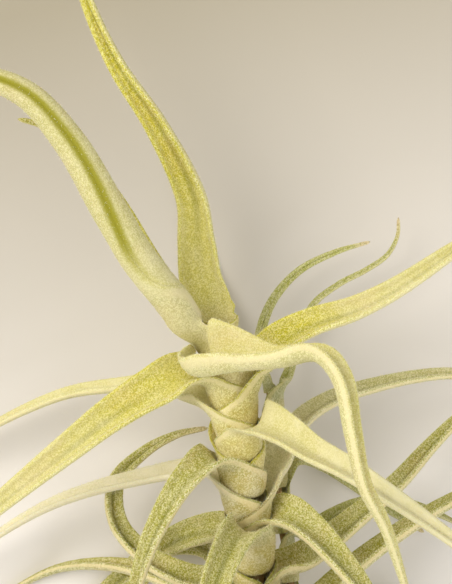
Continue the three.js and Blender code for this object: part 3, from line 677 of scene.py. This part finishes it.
def leaf_material(name, face, groove, back, margin, sheath, tip, scurf, felt_colour):
    """Living leaf under its felt of silvery scales, which scatter the light, so it's matt and a little soft.

    face is the channel's colour and groove its deepest line, which also paints the shade in creases and in a
    rolled leaf's seam. back is the outer face, margin is the pale line beside the edge, brighter by a painted
    highlight where it faces up, sheath is the part that clasps the stem, tip is the dry point, scurf is the
    scales themselves, and felt_colour is what they look like where they lie close together.
    """
    material, tree, shader = new_material(
        name, Roughness=0.78, IOR=1.4, Sheen_Weight=0.15, Sheen_Roughness=0.5, Sheen_Tint=colour("#fbf6e4"),
        Subsurface_Weight=0.18, Subsurface_Radius=(0.9, 1, 0.35), Subsurface_Scale=0.0012)
    along, blade, across, outer, bleach, silver, worn, seam = [
        add_node(tree, "ShaderNodeAttribute", attribute_name=key).outputs["Fac"]
        for key in ("along", "blade", "across", "outer", "bleach", "silver", "worn", "seam")]
    place = add_node(tree, "ShaderNodeTexCoord").outputs["Object"]

    # The scales overlap like roof tiles and differ in how they catch the light. They are a tenth of a
    # millimetre wide, and are drawn a little coarser so that the picture shows them.
    scale_size = 0.14 * MM
    grain = add_node(
        tree, "ShaderNodeTexVoronoi", {"Vector": place, "Scale": 1 / scale_size}).outputs["Color"]
    cloud_size = 3.2 * MM
    cloud = add_node(tree, "ShaderNodeTexNoise", {
        "Vector": place, "Scale": 1 / cloud_size, "Detail": 3.0}).outputs["Fac"]
    blush_size = 7 * MM
    blush = add_node(tree, "ShaderNodeTexNoise", {
        "Vector": place, "Scale": 1 / blush_size, "Detail": 2.0}).outputs["Fac"]

    # The veins run along the leaf, so their pattern is narrow across it and stretched along it.
    vein_across = add_node(tree, "ShaderNodeMath", {0: across, 1: 14.0}, operation="MULTIPLY").outputs[0]
    vein_along = add_node(tree, "ShaderNodeMath", {0: along, 1: 0.18}, operation="MULTIPLY").outputs[0]
    vein_place = add_node(
        tree, "ShaderNodeCombineXYZ", {"X": vein_across, "Y": vein_along, "Z": outer}).outputs[0]
    veins = add_node(tree, "ShaderNodeTexNoise", {
        "Vector": vein_place, "Scale": 1.0, "Detail": 2.0}).outputs["Fac"]

    # Where a place is on the leaf: its back, the middle of its channel, its edge, the line beside the edge,
    # the sheath, the sheath's lower part and the dry tip. Then where it is clouded, rosy and veined.
    width = add_node(tree, "ShaderNodeMath", {0: across}, operation="ABSOLUTE").outputs[0]
    on_back = add_node(
        tree, "ShaderNodeMapRange", {"Value": outer, "From Min": 0.2, "From Max": 0.8}).outputs[0]
    in_middle = add_node(tree, "ShaderNodeMapRange", {
        "Value": width, "From Min": 0.32, "From Max": 0.04}, interpolation_type="SMOOTHSTEP").outputs[0]
    deeper = add_node(tree, "ShaderNodeMapRange", {
        "Value": blade, "From Min": 0.08, "From Max": 0.3, "To Min": 0.15, "To Max": 0.9}).outputs[0]
    in_middle = add_node(tree, "ShaderNodeMath", {0: in_middle, 1: deeper}, operation="MULTIPLY").outputs[0]
    on_edge = add_node(tree, "ShaderNodeMapRange", {
        "Value": width, "From Min": 0.88, "From Max": 0.96}, interpolation_type="SMOOTHSTEP").outputs[0]
    edge_line = add_node(tree, "ShaderNodeMapRange", {
        "Value": width, "From Min": 0.62, "From Max": 0.78}, interpolation_type="SMOOTHSTEP").outputs[0]
    edge_line = add_node(
        tree, "ShaderNodeMath", {0: edge_line, 1: on_edge}, operation="SUBTRACT").outputs[0]
    on_sheath = add_node(tree, "ShaderNodeMapRange", {
        "Value": along, "From Min": 3.0, "From Max": -1.5}, interpolation_type="SMOOTHSTEP").outputs[0]
    # Low on the sheath a darker straw: partly its own colour, partly painted shade by the older leaf's mouth.
    low_sheath_straw_and_shade = add_node(tree, "ShaderNodeMapRange", {
        "Value": along, "From Min": -0.3, "From Max": -1.6, "To Max": 0.6}).outputs[0]
    on_tip = add_node(tree, "ShaderNodeMapRange", {
        "Value": blade, "From Min": 0.88, "From Max": 1.0}, interpolation_type="SMOOTHSTEP").outputs[0]
    clouded = add_node(tree, "ShaderNodeMapRange", {
        "Value": cloud, "From Min": 0.45, "From Max": 0.68, "To Max": 0.55}).outputs[0]
    blushed = add_node(tree, "ShaderNodeMapRange", {
        "Value": blush, "From Min": 0.5, "From Max": 0.75, "To Max": 0.3}).outputs[0]
    veined = add_node(tree, "ShaderNodeMapRange", {
        "Value": veins, "From Min": 0.5, "From Max": 0.7, "To Max": 0.3}).outputs[0]

    # The line beside the edge is pale, and a painted highlight makes it paler where it faces up to the light.
    # The edge itself is bare and greener, and on a worn sheath it is brown. On the sheath a darker olive line
    # along the edge is painted shade in the crease where it overlaps.
    pale_line_and_highlight = add_node(
        tree, "ShaderNodeMath", {0: bleach, 1: 0.65, 2: 0.1}, operation="MULTIPLY_ADD").outputs[0]
    pale_line_and_highlight = add_node(
        tree, "ShaderNodeMath", {0: pale_line_and_highlight, 1: edge_line}, operation="MULTIPLY").outputs[0]
    greener = add_node(
        tree, "ShaderNodeMath", {0: silver, 1: -0.7, 2: 0.7}, operation="MULTIPLY_ADD").outputs[0]
    rim = add_node(tree, "ShaderNodeMath", {0: on_edge, 1: greener}, operation="MULTIPLY").outputs[0]
    # Painted shade: a darker olive line in the crease along a sheath's edge, where it overlaps.
    bare = add_node(tree, "ShaderNodeMath", {0: on_sheath, 1: 0.6}, operation="MULTIPLY").outputs[0]
    crease_shade = add_node(tree, "ShaderNodeMath", {0: on_edge, 1: bare}, operation="MULTIPLY").outputs[0]
    withered = add_node(tree, "ShaderNodeMath", {0: on_edge, 1: worn}, operation="MULTIPLY").outputs[0]

    # The felt lies smoother and closer on silvery leaves and on the sheath.
    smoother = add_node(tree, "ShaderNodeMath", {0: on_sheath, 1: 0.5}, operation="MULTIPLY").outputs[0]
    smoother = add_node(tree, "ShaderNodeMath", {0: silver, 1: smoother}, operation="MAXIMUM").outputs[0]
    cloudy = add_node(
        tree, "ShaderNodeMath", {0: smoother, 1: 1.2, 2: 0.25}, operation="MULTIPLY_ADD").outputs[0]
    clouded = add_node(tree, "ShaderNodeMath", {0: clouded, 1: cloudy}, operation="MULTIPLY").outputs[0]

    # The living tissue: channel, back, veins, sheath, edges and tip. The straw low on the sheath is partly
    # painted shade.
    skin = add_node(
        tree, "ShaderNodeMix", {0: in_middle, 6: colour(face), 7: colour(groove)}, data_type="RGBA")
    for share, over in ((silver, back), (on_back, back), (veined, groove), (on_sheath, sheath),
                        (low_sheath_straw_and_shade, STRAW_AND_SHADE), (clouded, felt_colour), (blushed, BLUSH),
                        (rim, face), (withered, WITHERED), (on_tip, tip)):
        skin = add_node(
            tree, "ShaderNodeMix", {0: share, 6: skin.outputs[2], 7: colour(over)}, data_type="RGBA")

    # Between the scales the darker tissue shows as specks, but less on silvery leaves and on the sheath.
    speck_share = add_node(
        tree, "ShaderNodeMath", {0: smoother, 1: -0.5, 2: 0.5}, operation="MULTIPLY_ADD").outputs[0]
    specks = add_node(tree, "ShaderNodeMapRange", {
        "Value": grain, "From Min": 0.44, "From Max": 0.32, "To Max": speck_share}).outputs[0]
    least = add_node(
        tree, "ShaderNodeMath", {0: silver, 1: 0.42, 2: 0.06}, operation="MULTIPLY_ADD").outputs[0]
    # The scales are brightest on a margin that faces up to the light: a painted highlight.
    most = add_node(
        tree, "ShaderNodeMath", {0: bleach, 1: 0.25, 2: 0.65}, operation="MULTIPLY_ADD").outputs[0]
    most = add_node(
        tree, "ShaderNodeMath", {0: on_sheath, 1: -0.1, 2: most}, operation="MULTIPLY_ADD").outputs[0]
    scales = add_node(tree, "ShaderNodeMapRange", {
        "Value": grain, "From Min": 0.45, "From Max": 0.75, "To Min": least, "To Max": most}).outputs[0]
    thinner = add_node(
        tree, "ShaderNodeMath", {0: in_middle, 1: -0.6, 2: 1.0}, operation="MULTIPLY_ADD").outputs[0]
    scales = add_node(tree, "ShaderNodeMath", {0: scales, 1: thinner}, operation="MULTIPLY").outputs[0]
    felted = add_node(tree, "ShaderNodeMapRange", {
        "Value": grain, "From Min": 0.3, "From Max": 0.7, "To Min": 0.4, "To Max": 0.75}).outputs[0]
    felted = add_node(tree, "ShaderNodeMath", {0: felted, 1: silver}, operation="MULTIPLY").outputs[0]
    # The pale line carries the painted highlight, and the seam and the crease carry painted shade.
    for share, over in ((specks, groove), (scales, scurf), (pale_line_and_highlight, margin), (felted, felt_colour),
                        (seam, groove), (crease_shade, groove)):
        skin = add_node(
            tree, "ShaderNodeMix", {0: share, 6: skin.outputs[2], 7: colour(over)}, data_type="RGBA")
    tree.links.new(skin.outputs[2], shader.inputs["Base Color"])

    # The scales stand a little proud, and the veins less.
    height = add_node(
        tree, "ShaderNodeMath", {0: veins, 1: 0.4, 2: grain}, operation="MULTIPLY_ADD").outputs[0]
    bump = add_node(tree, "ShaderNodeBump", {"Height": height, "Strength": 0.5, "Distance": 0.07 * MM})
    tree.links.new(bump.outputs["Normal"], shader.inputs["Normal"])
    return material


def bark_material(name, light, dark):
    """Dry woody stem with the torn fibres of old sheaths: brown, matt and fibrous along its length."""
    material, tree, shader = new_material(name, Roughness=0.85, IOR=1.45)
    place = add_node(tree, "ShaderNodeTexCoord").outputs["Object"]
    fibre = 0.35 * MM
    stretch = add_node(tree, "ShaderNodeMapping", {"Vector": place, "Scale": (1, 0.12, 1)}).outputs[0]
    noise = add_node(
        tree, "ShaderNodeTexNoise", {"Vector": stretch, "Scale": 1 / fibre, "Detail": 4.0}).outputs["Fac"]
    mixed = add_node(
        tree, "ShaderNodeMix", {0: noise, 6: colour(dark), 7: colour(light)}, data_type="RGBA").outputs[2]
    tree.links.new(mixed, shader.inputs["Base Color"])
    bump = add_node(tree, "ShaderNodeBump", {"Height": noise, "Strength": 0.8, "Distance": 0.12 * MM})
    tree.links.new(bump.outputs["Normal"], shader.inputs["Normal"])
    return material


young = leaf_material("young_leaf", face="#cfc504", groove="#948f08", back="#b8b160", margin="#efe3ae",
                      sheath="#cfc27c", tip="#bdb25c", scurf="#f2edb2", felt_colour="#e6e0bc")
grown = leaf_material("grown_leaf", face="#aaa628", groove="#7c7c10", back="#c4bd7e", margin="#ebdca8",
                      sheath="#c4b566", tip="#c9ae86", scurf="#eae6c0", felt_colour="#f1ead0")
side = leaf_material("side_shoot_leaf", face="#a9aa4a", groove="#85883a", back="#b2b278", margin="#d0c890",
                     sheath="#b0b286", tip="#d3b796", scurf="#d9d6b0", felt_colour="#c4c49c")
dry = leaf_material("dry_leaf", face="#b08a4c", groove="#7b5a2a", back="#bd9a62", margin="#cdb07c",
                    sheath="#a98250", tip="#8a6438", scurf="#d9c39a", felt_colour="#c9ae80")
bark = bark_material("dry_bark", "#b79a62", "#6d4f2a")
# The hairs are clear to white, hollow dead cells that catch the light.
felt, _, _ = new_material("silvery_hair", Roughness=0.5, IOR=1.4, Base_Color=colour("#f0e8bc"),
                          Subsurface_Weight=0.3, Subsurface_Scale=0.0003)

# The plant

def place_piece(obj, node, material):
    """Gives a piece its material and puts it in the place of a CAD node."""
    obj.data.materials.append(material)
    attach(obj, "root")
    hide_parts(node)


main_line = StemLine(MAIN)
side_line = StemLine(SIDE)

lower = []
for n in range(LOWER["count"]):
    is_dry = n >= LOWER["count"] - LOWER["dry"]
    leaf = dict(
        below=LOWER["first_below"] + n * LOWER["spacing"],
        round=LOWER["first_round"] + n * LOWER["turn"],
        length=spread(n + 1, LOWER["length"]) * (LOWER["dry_size"] if is_dry else 1),
        end_lean=spread(2 * n + 1, LOWER["end_lean"]) + (LOWER["dry_lean"] if is_dry else 0),
        sway=spread(3 * n + 2, LOWER["sway"]),
        width=LOWER["dry_size"] if is_dry else 1,
        dry=is_dry,
    )
    lower.append(dict(leaf, path=arched_path(MAIN, main_line, leaf)))

# The leaves that hairs grow on, with how dense they are and the leaf's material slot.
hairy = []
for i, leaf in enumerate(completed(MAIN, SET_LEAVES + lower)):
    node = f"leaf_{i + 1:02d}"
    obj = build_leaf(f"{node}_blade", MAIN, main_line, leaf)
    material, slot = grown, "leaf_grown"
    if i < YOUNG_LEAVES:
        material, slot = young, "leaf_young"
    if leaf.get("dry"):
        material, slot = dry, "leaf_dry"
    place_piece(obj, node, material)
    hairy.append((obj, HAIRS["upper"] if i < len(SET_LEAVES) else HAIRS["lower"], slot))
for i, leaf in enumerate(completed(SIDE, SIDE_LEAVES)):
    node = f"side_leaf_{i + 1}"
    obj = build_leaf(f"{node}_blade", SIDE, side_line, leaf)
    place_piece(obj, node, side)
    hairy.append((obj, HAIRS["side"], "leaf_side"))
place_piece(build_stem("stem_bark", MAIN, main_line), "stem", bark)
place_piece(build_stem("side_stem_bark", SIDE, side_line), "side_stem", bark)


# Hairs

def hair_seed():
    """One hair: a sliver with three sides, standing on its root."""
    bm = bmesh.new()
    bmesh.ops.create_cone(bm, cap_ends=True, cap_tris=True, segments=3,
                          radius1=HAIR_WIDTH / 2 * MM, radius2=0, depth=HAIR_LENGTH * MM)
    # Lifted by a little under half its length, it has its root sunk into the leaf.
    bmesh.ops.translate(bm, verts=bm.verts, vec=(0, 0, HAIR_LENGTH * 0.44 * MM))
    bmesh.ops.remove_doubles(bm, verts=bm.verts, dist=1e-7)
    mesh = bpy.data.meshes.new("hair_seed")
    bm.to_mesh(mesh)
    bm.free()
    mesh.materials.append(felt)
    obj = bpy.data.objects.new("hair_seed", mesh)
    bpy.context.scene.collection.objects.link(obj)
    return obj


def hair_group(seed_object, per_mm2, seed):
    """Scatters leaning hairs over a leaf: the leaf's "fuzz" attribute says where they are dense."""
    group = bpy.data.node_groups.new("hair_scatter", "GeometryNodeTree")
    group.interface.new_socket("Geometry", in_out="INPUT", socket_type="NodeSocketGeometry")
    group.interface.new_socket("Geometry", in_out="OUTPUT", socket_type="NodeSocketGeometry")
    start = add_node(group, "NodeGroupInput")
    thick = add_node(group, "GeometryNodeInputNamedAttribute", {"Name": "fuzz"}, data_type="FLOAT")
    density = add_node(
        group, "ShaderNodeMath", {0: thick.outputs[0], 1: per_mm2 / MM ** 2}, operation="MULTIPLY")
    points = add_node(group, "GeometryNodeDistributePointsOnFaces",
                      {"Mesh": start.outputs[0], "Density": density.outputs[0], "Seed": seed})
    lean = add_node(
        group, "FunctionNodeRandomValue",
        {"Min": (-HAIR_LEAN, -HAIR_LEAN, 0), "Max": (HAIR_LEAN, HAIR_LEAN, 6.28), "Seed": seed + 1},
        data_type="FLOAT_VECTOR")
    turned = add_node(
        group, "FunctionNodeRotateRotation",
        {"Rotation": points.outputs["Rotation"], "Rotate By": lean.outputs[0]}, rotation_space="LOCAL")
    size = add_node(
        group, "FunctionNodeRandomValue",
        {2: HAIR_SIZES[0], 3: HAIR_SIZES[1], "Seed": seed + 2}, data_type="FLOAT")
    hair = add_node(group, "GeometryNodeObjectInfo", {"Object": seed_object})
    stand = add_node(group, "GeometryNodeInstanceOnPoints",
                     {"Points": points.outputs["Points"], "Instance": hair.outputs["Geometry"],
                      "Rotation": turned.outputs[0], "Scale": size.outputs[1]})
    real = add_node(group, "GeometryNodeRealizeInstances", {"Geometry": stand.outputs[0]})
    add_node(group, "NodeGroupOutput", {0: real.outputs[0]})
    return group


def grow_hairs(leaf_object, seed_object, per_mm2, seed):
    """Bakes a leaf's hairs to a mesh of their own, which rides with the plant."""
    group = hair_group(seed_object, per_mm2, seed)
    modifier = leaf_object.modifiers.new("hairs", "NODES")
    modifier.node_group = group
    graph = bpy.context.evaluated_depsgraph_get()
    mesh = bpy.data.meshes.new_from_object(leaf_object.evaluated_get(graph))
    leaf_object.modifiers.remove(modifier)
    bpy.data.node_groups.remove(group)
    obj = bpy.data.objects.new(leaf_object.name.replace("_blade", "_hair"), mesh)
    bpy.context.scene.collection.objects.link(obj)
    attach(obj, "root")


seed_object = hair_seed()
for i, (leaf_object, per_mm2, slot) in enumerate(hairy):
    grow_hairs(leaf_object, seed_object, per_mm2, 11 * i)
bpy.data.objects.remove(seed_object)

# The table, the light and the camera

table_mesh = bmesh.new()
bmesh.ops.create_grid(table_mesh, x_segments=1, y_segments=1, size=TABLE_REACH)
data = bpy.data.meshes.new("table")
table_mesh.to_mesh(data)
table_mesh.free()
table = bpy.data.objects.new("table", data)
bpy.context.scene.collection.objects.link(table)
# Matt paper with painted shade: darker towards the plant's tip, as light falling off across a backdrop
# makes it. Matt paper, darker towards the plant's tip, as the photo's backdrop is.
paper, tree, shader = new_material("matt_paper", Roughness=0.9, Specular_IOR_Level=0.2)
place = add_node(tree, "ShaderNodeTexCoord").outputs["Object"]
down = add_node(
    tree, "ShaderNodeVectorMath", {0: place, 1: (0.25, -1, 0)}, operation="DOT_PRODUCT").outputs["Value"]
painted_falloff = add_node(
    tree, "ShaderNodeMapRange", {"Value": down, "From Min": -0.07, "From Max": 0.02}).outputs["Result"]
painted_falloff = add_node(tree, "ShaderNodeMix", {
    0: painted_falloff, 6: colour("#aba390"), 7: colour("#efebe8")}, data_type="RGBA").outputs[2]
tree.links.new(painted_falloff, shader.inputs["Base Color"])
data.materials.append(paper)

world = bpy.data.worlds.new("studio")
bpy.context.scene.world = world
world.use_nodes = True
world.node_tree.nodes["Background"].inputs["Color"].default_value = colour("#f4f1ea")
world.node_tree.nodes["Background"].inputs["Strength"].default_value = SKY


def area_light(name, place, size, power, tint):
    """A round soft lamp, its place and size in metres and its power in watts."""
    light = bpy.data.lights.new(name, "AREA")
    light.shape = "DISK"
    light.size = size
    light.energy = power
    light.color = colour(tint)[:3]
    obj = bpy.data.objects.new(name, light)
    obj.location = place
    obj.rotation_euler = (Vector(LIT_SPOT) - Vector(place)).to_track_quat("-Z", "Y").to_euler()
    bpy.context.scene.collection.objects.link(obj)


area_light("key", place=(-0.4, 0.2, 0.6), size=0.5, power=3.9, tint="#fffaf2")
area_light("fill", place=(0.5, -0.5, 0.5), size=0.7, power=2.4, tint="#fafaff")

lens = bpy.data.cameras.new("camera")
lens.sensor_fit = "HORIZONTAL"
lens.sensor_width = 36
lens.lens = lens.sensor_width * VIEW_DISTANCE / VIEW_WIDTH
lens.clip_end = 20
camera = bpy.data.objects.new("camera", lens)
camera.location = (SHIFT + Vector((0, 0, VIEW_DISTANCE))) * MM
bpy.context.scene.collection.objects.link(camera)
bpy.context.scene.camera = camera
bpy.context.scene.view_settings.view_transform = "Standard"
